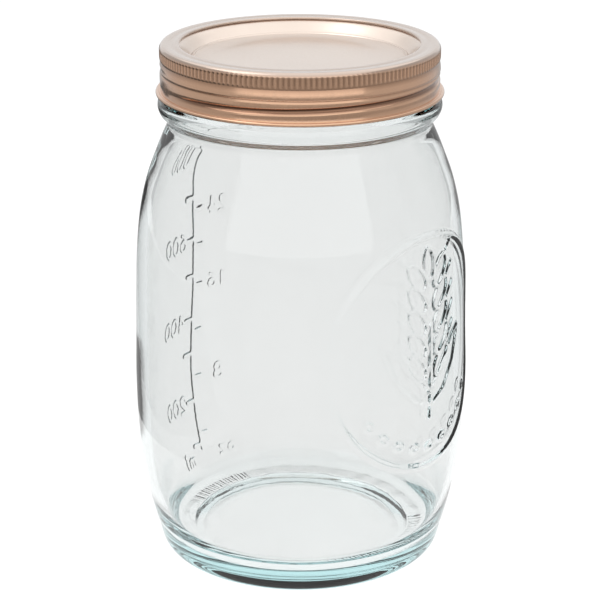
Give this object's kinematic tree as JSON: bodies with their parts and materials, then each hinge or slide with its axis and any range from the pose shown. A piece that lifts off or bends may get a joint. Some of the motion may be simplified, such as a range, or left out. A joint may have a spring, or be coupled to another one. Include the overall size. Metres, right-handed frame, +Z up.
{
  "type": "sourdough starter jar",
  "caption": "Round clear glass preserving jar with a threaded neck, closed by a flat metal disc with a sealing ring and a knurled metal screw band.",
  "frame": {"origin": "centre of the foot, on the plane the jar stands on", "axes": "+Z up along the axis of the jar and of its thread; -Y is the front that the picture looks at, with the raised ring towards +X and the embossed scale on the back towards -X"},
  "size_m": [0.1064, 0.106, 0.1655],
  "materials": {
    "clear_glass": "clear soda-lime glass with a faint aqua tint, pressed and blown, slightly wavy",
    "rose_tinplate": "rose-gold lacquer on tinplate, satin with a fine grain",
    "seal_compound": "matt moulded-in sealing compound",
    "rose_band": "rose-gold lacquer on rolled tinplate, satin, wear on the knurls"
  },
  "bodies": {
    "jar": {"glass_jar": "clear_glass"},
    "lid": {"lid_disc": "rose_tinplate", "lid_seal": "seal_compound"},
    "band": {"screw_band": "rose_band"}
  },
  "joints": [
    {"name": "lid_lift", "type": "slide", "parent": "jar", "child": "lid", "axis": [0, 0, 1], "range_m": [0, 0.0254]},
    {"name": "band_turn", "type": "hinge", "parent": "lid", "child": "band", "pos_m": [0, 0, 0.158], "axis": [0, 0, 1], "range_deg": [0, 1800]}
  ],
  "couplings": [
    {"joint": "lid_lift", "follows": "band_turn", "m_per_rad": 0.0008085}
  ]
}
